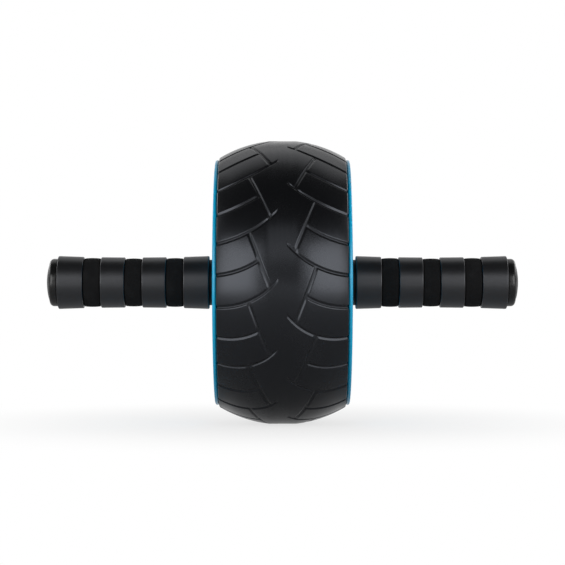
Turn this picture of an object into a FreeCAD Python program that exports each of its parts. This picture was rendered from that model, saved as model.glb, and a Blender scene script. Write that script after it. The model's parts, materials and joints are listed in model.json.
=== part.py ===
import FreeCAD, Part
import os
import re
import Sketcher

# Ab wheel roller: a barrel-shaped wheel that runs on two ball bearings between two banded grips.
# The axle lies along Y and the wheel's centre is the origin. Z is up. Lengths are in millimetres.

SIZES = {
    # tyre
    "wheel_diameter": 180,
    "crown_radius": 77.5,
    "crown_flat": 12,
    "tyre_width": 79,
    "tyre_corner": 2,
    "tread_thickness": 5.5,
    "groove_count": 13,
    "groove_width": 2.4,
    "groove_depth": 1,
    "groove_rise": 20,
    "groove_lead": 2.9,
    "centre_rib": 6,
    "diagonal_outer": 20.5,
    "diagonal_inner": 7.5,
    "tread_turn_share": 0.11,
    # drum
    "drum_wall": 3,
    "web_thickness": 3,
    "hub_wall": 5,
    "hub_gap": 5.5,
    "bearing_shoulder": 3,
    "rib_count": 6,
    "rib_thickness": 2.5,
    "rib_gap": 8,
    "cover_boss_inset": 9,
    "cover_boss_diameter": 9,
    "drum_boss_offset": 11,
    "drum_boss_diameter": 10,
    "drum_boss_height": 12,
    "pilot_diameter": 2.8,
    "screw_hole_diameter": 3.8,
    # side cover
    "cover_step": 1.4,
    "cover_fit": 3,
    "cover_rim": 3,
    "cover_edge_share": 0.43,
    "dish_depth": 4,
    "dish_slope": 4,
    "cover_plate": 2.5,
    "cover_hub_diameter": 46,
    "bore_gap": 2,
    "spoke_width": 10,
    "spoke_drop": 1,
    # screws
    "screw_head_diameter": 7,
    "screw_head_height": 2.4,
    "screw_length": 10,
    "drum_screw_length": 20,
    "recess_width": 0.9,
    "recess_span": 3.6,
    "recess_depth": 1.3,
    # bearings
    "bearing_diameter": 28,
    "bearing_width": 8,
    "ball_diameter": 4.76,
    "ball_count": 8,
    "ball_clearance": 0.05,
    "race_groove_depth": 0.8,
    "cage_inset": 0.5,
    "cage_wall": 2,
    "pocket_clearance": 0.1,
    # axle and what it clamps
    "axle_diameter": 12,
    "fit_clearance": 0.05,
    "sleeve_wall": 2,
    "side_clearance": 0.5,
    "collar_diameter": 29,
    "collar_length": 3.6,
    "collar_edge": 0.4,
    # grip
    "ring_wall": 4,
    "grip_waist_diameter": 32,
    "grip_end_diameter": 33.8,
    "end_ring_width": 16.3,
    "middle_ring_width": 15.3,
    "ring_edge": 0.7,
    "band_width": 11,
    "band_step": 0.6,
    "band_crown": 0.5,
    # end bolt and cap
    "counterbore_depth": 14,
    "bolt_diameter": 6,
    "bolt_reach": 18,
    "bolt_head_diameter": 10.5,
    "bolt_head_height": 3.3,
    "tap_spare": 2,
    "clamp_gap": 0.5,
    "washer_thickness": 1.5,
    "washer_play": 0.4,
    "cap_diameter": 30.3,
    "cap_flange": 4.2,
    "cap_edge_share": 0.38,
    "cap_length": 7.2,
    "cap_step": 0.5,
    "cap_dome_radius": 34,
    "cap_flat_diameter": 9,
    "cap_plug_length": 6,
    "cap_plug_wall": 2,
    # how far a cut runs past what it cuts
    "cut_overrun": 3,
}

ORIGIN = FreeCAD.Vector(0, 0, 0)
AXLE = FreeCAD.Vector(0, 1, 0)
ACROSS = FreeCAD.Vector(1, 0, 0)
UP = FreeCAD.Vector(0, 0, 1)
LIFTING = FreeCAD.Vector(0, -1, 0)  # a turn about this axis lifts the front of the wheel
TURNED_OVER = FreeCAD.Placement(ORIGIN, FreeCAD.Rotation(ACROSS, 180))
SIDES = {"right": FreeCAD.Placement(), "left": TURNED_OVER}

doc = FreeCAD.newDocument("ab_wheel_roller")
sheet = doc.addObject("Spreadsheet::Sheet", "Sizes")
for row, (alias, number) in enumerate(SIZES.items(), start=1):
    sheet.set(f"A{row}", alias)
    sheet.set(f"B{row}", str(number))
    sheet.setAlias(f"B{row}", alias)
doc.recompute()

sub_parts = []


# Formulas

def bound(formula):
    # a formula in the sheet's names, as the document reads it
    return re.sub(r"[a-z_]+", lambda word: f"Sizes.{word[0]}" if word[0] in SIZES else word[0], formula)


def size(formula):
    return float(doc.Sizes.evalExpression(bound(formula).replace("Sizes.", "")))


# Sketches: a corner is (across, along), and a third entry is the radius of the arc that leads to the
# next corner, above zero where the arc turns left and below zero where it turns right

def arc_between(start, end, radius):
    chord = end - start
    left = FreeCAD.Vector(-chord.y, chord.x, 0).normalize()
    reach = (radius ** 2 - (chord.Length / 2) ** 2) ** 0.5
    bulge = abs(radius) - reach
    middle = (start + end) / 2 + left * (-bulge if radius > 0 else bulge)
    return Part.Arc(start, middle, end)


def draw_outline(sketch, corners):
    points = [FreeCAD.Vector(size(corner[0]), size(corner[1]), 0) for corner in corners]
    following = points[1:] + points[:1]
    for corner, start, end in zip(corners, points, following):
        curved = len(corner) == 3
        edge = arc_between(start, end, size(corner[2])) if curved else Part.LineSegment(start, end)
        sketch.addGeometry(edge, False)
    ends = []
    for index, start in enumerate(points):
        gaps = [(sketch.getPoint(index, end) - start).Length for end in (1, 2)]
        ends.append((1, 2) if gaps[0] < gaps[1] else (2, 1))
    for index, corner in enumerate(corners):
        after = (index + 1) % len(corners)
        sketch.addConstraint(Sketcher.Constraint("Coincident", index, ends[index][1], after, ends[after][0]))
        for kind, axis, formula in (("DistanceX", -2, corner[0]), ("DistanceY", -1, corner[1])):
            if formula == "0":
                sketch.addConstraint(Sketcher.Constraint("PointOnObject", index, ends[index][0], axis))
            else:
                drive(sketch, Sketcher.Constraint(kind, -1, 1, index, ends[index][0], size(formula)), formula)
        if len(corner) == 3:
            radius = f"abs({corner[2]})"
            drive(sketch, Sketcher.Constraint("Radius", index, size(radius)), radius)


def draw_circle(sketch, across, along, diameter):
    centre = FreeCAD.Vector(size(across), size(along), 0)
    radius = f"({diameter}) / 2"
    sketch.addGeometry(Part.Circle(centre, UP, size(radius)), False)
    drive(sketch, Sketcher.Constraint("DistanceX", -1, 1, 0, 3, centre.x), across)
    drive(sketch, Sketcher.Constraint("DistanceY", -1, 1, 0, 3, centre.y), along)
    drive(sketch, Sketcher.Constraint("Radius", 0, size(radius)), radius)


def drive(sketch, constraint, formula):
    index = sketch.addConstraint(constraint)
    sketch.setExpression(f"Constraints[{index}]", bound(formula))


def origin_part(body, role):
    return next(part for part in body.Origin.OriginFeatures if part.Role == role)


def attached_sketch(body, name, role, height="0"):
    # a sketch on one of the body's own planes, moved along +Y by height where the plane faces along Y
    sketch = body.newObject("Sketcher::SketchObject", name)
    sketch.AttachmentSupport = [(origin_part(body, role), "")]
    sketch.MapMode = "FlatFace"
    if height != "0":
        sketch.setExpression("AttachmentOffset.Base.z", bound(f"-({height})"))
    return sketch


# Features

def new_body(label, place):
    body = doc.addObject("PartDesign::Body", label)
    body.Label = label
    body.Placement = place
    return body


def turned(label, corners, place=FreeCAD.Placement(), kept=True):
    # a body of revolution about the axle, from its outline in (radius, place along the axle)
    body = new_body(label, place)
    profile = attached_sketch(body, f"{label}_profile", "XY_Plane")
    draw_outline(profile, corners)
    solid = body.newObject("PartDesign::Revolution", f"{label}_turned")
    solid.Profile = profile
    solid.ReferenceAxis = (profile, ["V_Axis"])
    solid.Angle = 360
    if kept:
        sub_parts.append(body)
    return body


def pad(body, sketch, formula, midplane=False):
    feature = body.newObject("PartDesign::Pad", f"{sketch.Name}_pad")
    feature.Profile = sketch
    feature.Midplane = midplane
    feature.Reversed = not midplane
    feature.setExpression("Length", bound(formula))
    return feature


def pocket(body, sketch, formula, outwards):
    # outwards cuts away from the wheel's middle, otherwise the cut runs towards it
    feature = body.newObject("PartDesign::Pocket", f"{sketch.Name}_pocket")
    feature.Profile = sketch
    feature.Reversed = not outwards
    feature.setExpression("Length", bound(formula))
    return feature


def repeat_round(body, name, features, count):
    pattern = body.newObject("PartDesign::PolarPattern", name)
    pattern.Originals = features
    pattern.Axis = (origin_part(body, "Y_Axis"), [""])
    pattern.Angle = 360
    pattern.setExpression("Occurrences", bound(count))
    body.Tip = pattern
    return pattern


def group(label, shapes):
    # identical small pieces, as separate solids under one name
    node = doc.addObject("Part::Feature", label)
    node.Label = label
    node.Shape = Part.Compound(shapes)
    sub_parts.append(node)
    return node


# Where things lie along the axle, from the wheel's middle outwards

TYRE_HALF = "tyre_width / 2"
COVER_FACE = f"({TYRE_HALF} + cover_rim)"
PLATE_FACE = f"({COVER_FACE} - dish_depth)"
PLATE_BACK = f"({PLATE_FACE} - cover_plate)"
RIB_TOP = f"({PLATE_BACK} - rib_gap)"
HUB_FACE = f"({TYRE_HALF} - hub_gap)"
BEARING_BACK = f"({HUB_FACE} - bearing_width)"
BEARING_MIDDLE = f"({HUB_FACE} - bearing_width / 2)"
COLLAR_START = f"({COVER_FACE} + side_clearance)"
COLLAR_END = f"({COLLAR_START} + collar_length)"
GRIP_LENGTH = "(2 * end_ring_width + 2 * middle_ring_width + 3 * band_width)"
GRIP_END = f"({COLLAR_END} + {GRIP_LENGTH})"
CLAMP_FACE = f"({GRIP_END} - counterbore_depth)"
AXLE_END = f"({CLAMP_FACE} - clamp_gap)"
HEAD_SEAT = f"({CLAMP_FACE} + washer_thickness)"


# Radii about the axle, from the axle outwards

AXLE_BORE = "(axle_diameter / 2 + fit_clearance)"
SLEEVE = f"({AXLE_BORE} + sleeve_wall)"
BEARING_SEAT = "(bearing_diameter / 2 + fit_clearance)"
HUB = f"({BEARING_SEAT} + hub_wall)"
CORE = "(grip_waist_diameter / 2 - ring_wall)"
COUNTERBORE = f"(({AXLE_BORE} + {CORE}) / 2)"


# Tyre: the crown is an arc about a point near the axle, cut off by a flat band at the middle

CROWN_CENTRE = "(wheel_diameter / 2 - sqrt(crown_radius ^ 2 - (crown_flat / 2) ^ 2))"


def crown_at(depth, along):
    return f"({CROWN_CENTRE} + sqrt((crown_radius - ({depth})) ^ 2 - ({along}) ^ 2))"


def flat_half_at(depth):
    drop = f"(wheel_diameter / 2 - ({depth}) - {CROWN_CENTRE})"
    return f"sqrt((crown_radius - ({depth})) ^ 2 - {drop} ^ 2)"


def barrel_wall(depth, along):
    # the outline of a barrel at a depth under the crown, from -along to +along
    flat = flat_half_at(depth)
    radius = f"wheel_diameter / 2 - ({depth})"
    bend = f"crown_radius - ({depth})"
    edge = crown_at(depth, along)
    return [(edge, f"-({along})", bend), (radius, f"-({flat})"), (radius, flat, bend), (edge, along)]


def backwards(corners):
    # the same outline in the other direction, so arcs turn the other way
    flipped = []
    for index in range(len(corners) - 1, -1, -1):
        bend = corners[index - 1][2:] if index else ()
        flipped.append(corners[index][:2] + tuple(f"-({radius})" for radius in bend))
    return flipped


def tyre_blank():
    corner_along = f"({TYRE_HALF} - tyre_corner)"
    corner_rise = f"sqrt((crown_radius - tyre_corner) ^ 2 - {corner_along} ^ 2)"
    stretch = "(crown_radius / (crown_radius - tyre_corner))"
    tangent_along = f"{stretch} * {corner_along}"
    tangent_radius = f"{CROWN_CENTRE} + {stretch} * {corner_rise}"
    side_radius = f"{CROWN_CENTRE} + {corner_rise}"
    flat = "crown_flat / 2"
    outer = [
        (side_radius, f"-({TYRE_HALF})", "tyre_corner"),
        (tangent_radius, f"-({tangent_along})", "crown_radius"),
        ("wheel_diameter / 2", f"-({flat})"),
        ("wheel_diameter / 2", flat, "crown_radius"),
        (tangent_radius, tangent_along, "tyre_corner"),
        (side_radius, TYRE_HALF),
    ]
    return turned("tyre_blank", outer + backwards(barrel_wall("tread_thickness", TYRE_HALF)), kept=False)


def tread_layer():
    # a shell round the tread whose inner face is the floor of the grooves
    past = f"{TYRE_HALF} + groove_lead"
    outside = barrel_wall("-cut_overrun", past)
    return turned("tread_layer", outside + backwards(barrel_wall("groove_depth", past)), kept=False)


GROOVE_START = "(centre_rib / 2)"
GROOVE_CENTRE = f"({TYRE_HALF} + groove_lead)"
GROOVE_RUN = f"({GROOVE_CENTRE} - {GROOVE_START})"
GROOVE_BEND = f"(({GROOVE_RUN} ^ 2 + groove_rise ^ 2) / (2 * groove_rise))"


def groove_height(along):
    # how far round the tyre a curved groove has climbed, where it crosses this place along the axle
    return f"({GROOVE_BEND} - sqrt({GROOVE_BEND} ^ 2 - ({GROOVE_CENTRE} - ({along})) ^ 2))"


def radial_prism(name, corners, angle):
    # an outline in (along the axle, round the tyre), run out from the axle and turned up by an angle
    sketch = doc.addObject("Sketcher::SketchObject", f"{name}_outline")
    sketch.Placement = FreeCAD.Placement(ORIGIN, FreeCAD.Rotation(AXLE, UP, ACROSS, "XYZ"))
    draw_outline(sketch, corners)
    prism = doc.addObject("Part::Extrusion", name)
    prism.Base = sketch
    prism.DirMode = "Custom"
    prism.Dir = ACROSS
    prism.Solid = True
    prism.setExpression("LengthFwd", bound("wheel_diameter / 2 + cut_overrun"))
    prism.Placement = FreeCAD.Placement(ORIGIN, FreeCAD.Rotation(LIFTING, 1))
    prism.setExpression("Placement.Rotation.Angle", bound(angle))
    return prism


def curved_groove(name, start, angle):
    # a band between two arcs about one centre, from its inner end out past the tyre's edge
    near, far = f"({GROOVE_BEND} - groove_width / 2)", f"({GROOVE_BEND} + groove_width / 2)"
    run = f"({GROOVE_CENTRE} - {start})"
    return radial_prism(name, [
        (start, f"{GROOVE_BEND} - sqrt({far} ^ 2 - {run} ^ 2)", far),
        (GROOVE_CENTRE, "-groove_width / 2"),
        (GROOVE_CENTRE, "groove_width / 2", f"-{near}"),
        (start, f"{GROOVE_BEND} - sqrt({near} ^ 2 - {run} ^ 2)"),
    ], angle)


def tyre():
    pitch = "(360 deg / groove_count)"
    top = f"asin({groove_height('diagonal_outer')} / {crown_at('0', 'diagonal_outer')})"
    foot = f"(asin({groove_height('diagonal_inner')} / {crown_at('0', 'diagonal_inner')}) - {pitch})"
    span = f"(({top} - {foot}) / 2)"
    upper = f"{crown_at('0', 'diagonal_outer')} * sin({span})"
    lower = f"{crown_at('0', 'diagonal_inner')} * sin({span})"
    run = "(diagonal_outer - diagonal_inner)"
    halfway = "((diagonal_outer + diagonal_inner) / 2)"
    half_cut = f"(groove_width / 2 * sqrt(1 + ({run} / ({upper} + {lower})) ^ 2))"
    prisms = [
        curved_groove("long_groove", GROOVE_START, "0 deg"),
        curved_groove("short_groove", halfway, f"-{pitch} / 2"),
        radial_prism("diagonal_groove", [
            (f"diagonal_inner - {half_cut}", f"-({lower})"),
            (f"diagonal_inner + {half_cut}", f"-({lower})"),
            (f"diagonal_outer + {half_cut}", upper),
            (f"diagonal_outer - {half_cut}", upper),
        ], f"({top} + {foot}) / 2"),
    ]
    repeat = doc.addObject("Part::MultiFuse", "groove_repeat")
    repeat.Shapes = prisms
    cutter = doc.addObject("Part::Common", "groove_cutter")
    cutter.Base = repeat
    cutter.Tool = tread_layer()
    doc.recompute()
    step = 360 / sheet.groove_count
    right = cutter.Shape
    left = right.mirror(ORIGIN, AXLE).rotated(ORIGIN, AXLE, step / 2)
    copies = []
    for number in range(int(sheet.groove_count)):
        copies += [half.rotated(ORIGIN, AXLE, number * step) for half in (right, left)]
    grooves = doc.addObject("Part::Feature", "grooves")
    grooves.Shape = Part.Compound(copies)
    tread = doc.addObject("Part::Cut", "tyre")
    tread.Label = "tyre"
    tread.Base = tyre_blank()
    tread.Tool = grooves
    tread.Placement = FreeCAD.Placement(ORIGIN, FreeCAD.Rotation(LIFTING, 1))
    tread.setExpression("Placement.Rotation.Angle", bound(f"tread_turn_share * {pitch}"))
    sub_parts.append(tread)


# Drum: two like halves, screwed together back to back, with three screws from each side

HALF_RIB_STEP = "(180 deg / rib_count)"
NEXT_BOSS = "(540 deg / rib_count)"
DRUM_WALL_DEPTH = "(tread_thickness + drum_wall)"
COVER_LAND = f"({crown_at(DRUM_WALL_DEPTH, TYRE_HALF)} - cover_fit)"
COVER_SCREW_RADIUS = f"({COVER_LAND} - dish_slope - cover_boss_inset)"
DRUM_SCREW_RADIUS = f"({HUB} + drum_boss_offset)"


def on_circle(radius, angle):
    return f"{radius} * cos({angle})", f"{radius} * sin({angle})"


def drum_half(side, place):
    outside, inside = "wheel_diameter / 2 - tread_thickness", f"wheel_diameter / 2 - {DRUM_WALL_DEPTH}"
    bore = "bearing_diameter / 2 - bearing_shoulder"
    body = turned(f"drum_{side}", [
        (bore, "0"),
        (outside, "0"),
        (outside, flat_half_at("tread_thickness"), "crown_radius - tread_thickness"),
        (crown_at("tread_thickness", TYRE_HALF), TYRE_HALF),
        (crown_at(DRUM_WALL_DEPTH, TYRE_HALF), TYRE_HALF, f"-(crown_radius - {DRUM_WALL_DEPTH})"),
        (inside, flat_half_at(DRUM_WALL_DEPTH)),
        (inside, "web_thickness"),
        (HUB, "web_thickness"),
        (HUB, HUB_FACE),
        (BEARING_SEAT, HUB_FACE),
        (BEARING_SEAT, BEARING_BACK),
        (bore, BEARING_BACK),
    ], place)
    in_wall = "tread_thickness + drum_wall / 2"
    in_hub = f"{BEARING_SEAT} + hub_wall / 2"
    rib = attached_sketch(body, f"drum_{side}_rib", "XY_Plane")
    draw_outline(rib, [
        (in_hub, "web_thickness / 2"),
        (f"wheel_diameter / 2 - ({in_wall})", "web_thickness / 2"),
        (f"wheel_diameter / 2 - ({in_wall})", flat_half_at(in_wall), f"crown_radius - ({in_wall})"),
        (crown_at(in_wall, RIB_TOP), RIB_TOP),
        (in_hub, RIB_TOP),
    ])
    cover_boss = attached_sketch(body, f"drum_{side}_cover_boss", "XZ_Plane")
    draw_circle(cover_boss, *on_circle(COVER_SCREW_RADIUS, HALF_RIB_STEP), "cover_boss_diameter")
    drum_boss = attached_sketch(body, f"drum_{side}_drum_boss", "XZ_Plane")
    draw_circle(drum_boss, *on_circle(DRUM_SCREW_RADIUS, HALF_RIB_STEP), "drum_boss_diameter")
    solids = [
        pad(body, rib, "rib_thickness", midplane=True),
        pad(body, cover_boss, PLATE_BACK),
        pad(body, drum_boss, "drum_boss_height"),
    ]
    repeat_round(body, f"drum_{side}_ribs", solids, "rib_count")
    pilot = attached_sketch(body, f"drum_{side}_pilot", "XZ_Plane", PLATE_BACK)
    draw_circle(pilot, *on_circle(COVER_SCREW_RADIUS, HALF_RIB_STEP), "pilot_diameter")
    blind = pocket(body, pilot, "screw_length - cover_plate + tap_spare", False)
    repeat_round(body, f"drum_{side}_pilots", [blind], "rib_count")
    through = attached_sketch(body, f"drum_{side}_through", "XZ_Plane")
    draw_circle(through, *on_circle(DRUM_SCREW_RADIUS, HALF_RIB_STEP), "screw_hole_diameter")
    thread = attached_sketch(body, f"drum_{side}_thread", "XZ_Plane")
    draw_circle(thread, *on_circle(DRUM_SCREW_RADIUS, NEXT_BOSS), "pilot_diameter")
    cuts = [
        pocket(body, through, "drum_boss_height + cut_overrun", True),
        pocket(body, thread, "drum_screw_length - drum_boss_height + tap_spare", True),
    ]
    repeat_round(body, f"drum_{side}_holes", cuts, "rib_count / 2")


# Side cover: a dished disc with a beaded rim, raised spokes and screws between them

def cover(side, place):
    rim = f"({crown_at('0', TYRE_HALF)} - cover_step)"
    edge = "(cover_rim * cover_edge_share)"
    boss = "cover_hub_diameter / 2"
    bore = f"{SLEEVE} + bore_gap"
    body = turned(f"cover_{side}", [
        (bore, TYRE_HALF),
        (boss, TYRE_HALF),
        (f"{boss} + dish_slope", PLATE_BACK),
        (f"{COVER_LAND} - dish_slope", PLATE_BACK),
        (COVER_LAND, TYRE_HALF),
        (f"{rim} - {edge}", TYRE_HALF, edge),
        (rim, f"{TYRE_HALF} + {edge}"),
        (rim, f"{COVER_FACE} - {edge}", edge),
        (f"{rim} - {edge}", COVER_FACE),
        (COVER_LAND, COVER_FACE),
        (f"{COVER_LAND} - dish_slope", PLATE_FACE),
        (f"{boss} + dish_slope", PLATE_FACE),
        (boss, COVER_FACE),
        (bore, COVER_FACE),
    ], place)
    spoke = attached_sketch(body, f"cover_{side}_spoke", "XZ_Plane", f"({PLATE_FACE} - cover_plate / 2)")
    inner, outer = f"{boss} + dish_slope / 2", f"{COVER_LAND} - dish_slope / 2"
    draw_outline(spoke, [
        (inner, "-spoke_width / 2"),
        (outer, "-spoke_width / 2"),
        (outer, "spoke_width / 2"),
        (inner, "spoke_width / 2"),
    ])
    raised = pad(body, spoke, "cover_plate / 2 + dish_depth - spoke_drop")
    repeat_round(body, f"cover_{side}_spokes", [raised], "rib_count")
    hole = attached_sketch(body, f"cover_{side}_hole", "XZ_Plane", PLATE_BACK)
    draw_circle(hole, *on_circle(COVER_SCREW_RADIUS, HALF_RIB_STEP), "screw_hole_diameter")
    through = pocket(body, hole, "cover_plate + cut_overrun", True)
    repeat_round(body, f"cover_{side}_holes", [through], "rib_count")


# Screws: a pan head with a cross recess, its seat at the origin and its shank towards -Y

def screw(name, length):
    shank = "(pilot_diameter / 2 - fit_clearance)"
    head = "screw_head_diameter / 2"
    point = f"-({length})"
    blank = turned(f"{name}_blank", [
        ("0", point),
        (shank, f"{point} + {shank}"),
        (shank, "0"),
        (head, "0"),
        (head, "screw_head_height / 2", "screw_head_height / 2"),
        (f"{head} - screw_head_height / 2", "screw_head_height"),
        ("0", "screw_head_height"),
    ], kept=False)
    slots = []
    for index, (wide, deep) in enumerate((("recess_span", "recess_width"), ("recess_width", "recess_span"))):
        slot = doc.addObject("Part::Box", f"{name}_slot_{index}")
        slot.setExpression("Length", bound(wide))
        slot.setExpression("Height", bound(deep))
        slot.setExpression("Width", bound("recess_depth + cut_overrun"))
        slot.setExpression("Placement.Base.x", bound(f"-{wide} / 2"))
        slot.setExpression("Placement.Base.y", bound("screw_head_height - recess_depth"))
        slot.setExpression("Placement.Base.z", bound(f"-{deep} / 2"))
        slots.append(slot)
    cross = doc.addObject("Part::MultiFuse", f"{name}_cross")
    cross.Shapes = slots
    whole = doc.addObject("Part::Cut", name)
    whole.Base = blank
    whole.Tool = cross
    doc.recompute()
    return whole.Shape


def screw_at(shape, radius, angle, seat, place):
    copy = shape.copy()
    copy.translate(FreeCAD.Vector(radius, seat, 0))
    copy.rotate(ORIGIN, AXLE, -angle)
    copy.Placement = place.multiply(copy.Placement)
    return copy


def screws():
    count = int(sheet.rib_count)
    short, long = screw("cover_screw", "screw_length"), screw("drum_screw", "drum_screw_length")
    angles = [(step + 0.5) * 360 / count for step in range(count)]
    cover_radius, cover_seat = size(COVER_SCREW_RADIUS), size(PLATE_FACE)
    drum_radius, drum_seat = size(DRUM_SCREW_RADIUS), size("drum_boss_height")
    drum_screws = []
    for side, place in SIDES.items():
        cover_screws = [screw_at(short, cover_radius, angle, cover_seat, place) for angle in angles]
        group(f"cover_screws_{side}", cover_screws)
        drum_screws += [screw_at(long, drum_radius, angle, drum_seat, place) for angle in angles[::2]]
    group("drum_screws", drum_screws)


# Ball bearings

BALL_CIRCLE = "((axle_diameter + bearing_diameter) / 4)"
BALL_TRACK = "(ball_diameter / 2 + ball_clearance)"
CAGE_HALF = "(bearing_width / 2 - cage_inset)"


def race(name, wall, shoulder, bend, place):
    # a ring with a track for the balls in the face at its shoulder
    reach = f"sqrt({BALL_TRACK} ^ 2 - ({shoulder} - {BALL_CIRCLE}) ^ 2)"
    turned(name, [
        (wall, BEARING_BACK),
        (shoulder, BEARING_BACK),
        (shoulder, f"{BEARING_MIDDLE} - {reach}", bend),
        (shoulder, f"{BEARING_MIDDLE} + {reach}"),
        (shoulder, HUB_FACE),
        (wall, HUB_FACE),
    ], place)


def bearing(side, place):
    outer_shoulder = f"({BALL_CIRCLE} + ball_diameter / 2 - race_groove_depth)"
    inner_shoulder = f"({BALL_CIRCLE} - ball_diameter / 2 + race_groove_depth)"
    race(f"outer_race_{side}", "bearing_diameter / 2", outer_shoulder, BALL_TRACK, place)
    race(f"inner_race_{side}", AXLE_BORE, inner_shoulder, f"-{BALL_TRACK}", place)
    ring = turned(f"cage_ring_{side}", [
        (f"{BALL_CIRCLE} - cage_wall / 2", f"{BEARING_MIDDLE} - {CAGE_HALF}"),
        (f"{BALL_CIRCLE} + cage_wall / 2", f"{BEARING_MIDDLE} - {CAGE_HALF}"),
        (f"{BALL_CIRCLE} + cage_wall / 2", f"{BEARING_MIDDLE} + {CAGE_HALF}"),
        (f"{BALL_CIRCLE} - cage_wall / 2", f"{BEARING_MIDDLE} + {CAGE_HALF}"),
    ], kept=False)
    centre = FreeCAD.Vector(size(BALL_CIRCLE), size(BEARING_MIDDLE), 0)
    ball = Part.makeSphere(sheet.ball_diameter / 2, centre)
    pocket_radius = sheet.ball_diameter / 2 + sheet.pocket_clearance
    bore = Part.makeCylinder(pocket_radius, sheet.bearing_diameter / 2, AXLE * centre.y, ACROSS)
    angles = [step * 360 / sheet.ball_count for step in range(int(sheet.ball_count))]
    balls = group(f"bearing_balls_{side}", [ball.rotated(ORIGIN, AXLE, angle) for angle in angles])
    balls.Placement = place
    pockets = doc.addObject("Part::Feature", f"cage_pockets_{side}")
    pockets.Shape = Part.Compound([bore.rotated(ORIGIN, AXLE, angle) for angle in angles])
    cage = doc.addObject("Part::Cut", f"bearing_cage_{side}")
    cage.Label = f"bearing_cage_{side}"
    cage.Base = ring
    cage.Tool = pockets
    cage.Placement = place
    sub_parts.append(cage)


# Axle, the spacer between the bearings, and the collars that the grips bear on

def axle():
    tap = "bolt_diameter / 2"
    tap_end = f"({HEAD_SEAT} - bolt_reach - tap_spare)"
    turned("axle", [
        ("0", f"-{tap_end}"),
        (tap, f"-{tap_end}"),
        (tap, f"-{AXLE_END}"),
        ("axle_diameter / 2", f"-{AXLE_END}"),
        ("axle_diameter / 2", AXLE_END),
        (tap, AXLE_END),
        (tap, tap_end),
        ("0", tap_end),
    ])
    turned("bearing_spacer", [
        (AXLE_BORE, f"-{BEARING_BACK}"),
        (SLEEVE, f"-{BEARING_BACK}"),
        (SLEEVE, BEARING_BACK),
        (AXLE_BORE, BEARING_BACK),
    ])


def collar(side, place):
    edge = "collar_diameter / 2"
    turned(f"neck_collar_{side}", [
        (AXLE_BORE, HUB_FACE),
        (SLEEVE, HUB_FACE),
        (SLEEVE, COLLAR_START),
        (f"{edge} - collar_edge", COLLAR_START, "collar_edge"),
        (edge, f"{COLLAR_START} + collar_edge"),
        (edge, f"{COLLAR_END} - collar_edge", "collar_edge"),
        (f"{edge} - collar_edge", COLLAR_END),
        (AXLE_BORE, COLLAR_END),
    ], place)


# Grip: four rings and three soft bands on a core, waisted towards the middle of the hand

GRIP_BORE = f"({CORE} + fit_clearance)"


def grip_radius(along):
    middle = f"({COLLAR_END} + {GRIP_LENGTH} / 2)"
    flare = f"(grip_end_diameter - grip_waist_diameter) * ((({along}) - {middle}) / ({GRIP_LENGTH} / 2)) ^ 2"
    return f"((grip_waist_diameter + {flare}) / 2)"


def grip_ring(name, start, end, place):
    near, far = grip_radius(start), grip_radius(end)
    turned(name, [
        (GRIP_BORE, start),
        (f"{near} - ring_edge", start, "ring_edge"),
        (near, f"{start} + ring_edge"),
        (far, f"{end} - ring_edge", "ring_edge"),
        (f"{far} - ring_edge", end),
        (GRIP_BORE, end),
    ], place)


def grip_band(name, start, end, place):
    edge = f"{grip_radius(f'({start} + {end}) / 2')} - band_step - band_crown"
    turned(name, [
        (GRIP_BORE, start),
        (edge, start, "(band_width ^ 2 / 4 + band_crown ^ 2) / (2 * band_crown)"),
        (edge, end),
        (GRIP_BORE, end),
    ], place)


def grip(side, place):
    turned(f"handle_core_{side}", [
        (AXLE_BORE, COLLAR_END),
        (CORE, COLLAR_END),
        (CORE, GRIP_END),
        (COUNTERBORE, GRIP_END),
        (COUNTERBORE, CLAMP_FACE),
        (AXLE_BORE, CLAMP_FACE),
    ], place)
    widths = ["end_ring_width", "middle_ring_width", "middle_ring_width", "end_ring_width"]
    start = COLLAR_END
    for number, width in enumerate(widths, start=1):
        end = f"({start} + {width})"
        grip_ring(f"grip_ring_{number}_{side}", start, end, place)
        start = end
        if number < len(widths):
            end = f"({start} + band_width)"
            grip_band(f"grip_band_{number}_{side}", start, end, place)
            start = end


# End bolt, washer and the cap that hides them

def end_fixings(side, place):
    shank, head = "(bolt_diameter / 2 - fit_clearance)", "bolt_head_diameter / 2"
    turned(f"handle_bolt_{side}", [
        ("0", f"{HEAD_SEAT} - bolt_reach"),
        (shank, f"{HEAD_SEAT} - bolt_reach"),
        (shank, HEAD_SEAT),
        (head, HEAD_SEAT),
        (head, f"{HEAD_SEAT} + bolt_head_height"),
        ("0", f"{HEAD_SEAT} + bolt_head_height"),
    ], place)
    turned(f"handle_washer_{side}", [
        ("bolt_diameter / 2 + washer_play", CLAMP_FACE),
        (f"{COUNTERBORE} - washer_play", CLAMP_FACE),
        (f"{COUNTERBORE} - washer_play", HEAD_SEAT),
        ("bolt_diameter / 2 + washer_play", HEAD_SEAT),
    ], place)
    plug = f"({COUNTERBORE} - fit_clearance)"
    rim = "cap_diameter / 2"
    edge = "(cap_flange * cap_edge_share)"
    flange = f"({GRIP_END} + cap_flange)"
    turned(f"end_cap_{side}", [
        ("0", GRIP_END),
        (f"{plug} - cap_plug_wall", GRIP_END),
        (f"{plug} - cap_plug_wall", f"{GRIP_END} - cap_plug_length"),
        (plug, f"{GRIP_END} - cap_plug_length"),
        (plug, GRIP_END),
        (f"{rim} - {edge}", GRIP_END, edge),
        (rim, f"{GRIP_END} + {edge}"),
        (rim, f"{flange} - {edge}", edge),
        (f"{rim} - {edge}", flange),
        (f"{rim} - {edge} - cap_step", flange),
        (f"{rim} - {edge} - cap_step", f"{flange} + cap_step", "cap_dome_radius"),
        ("cap_flat_diameter / 2", f"{GRIP_END} + cap_length"),
        ("0", f"{GRIP_END} + cap_length"),
    ], place)


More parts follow.
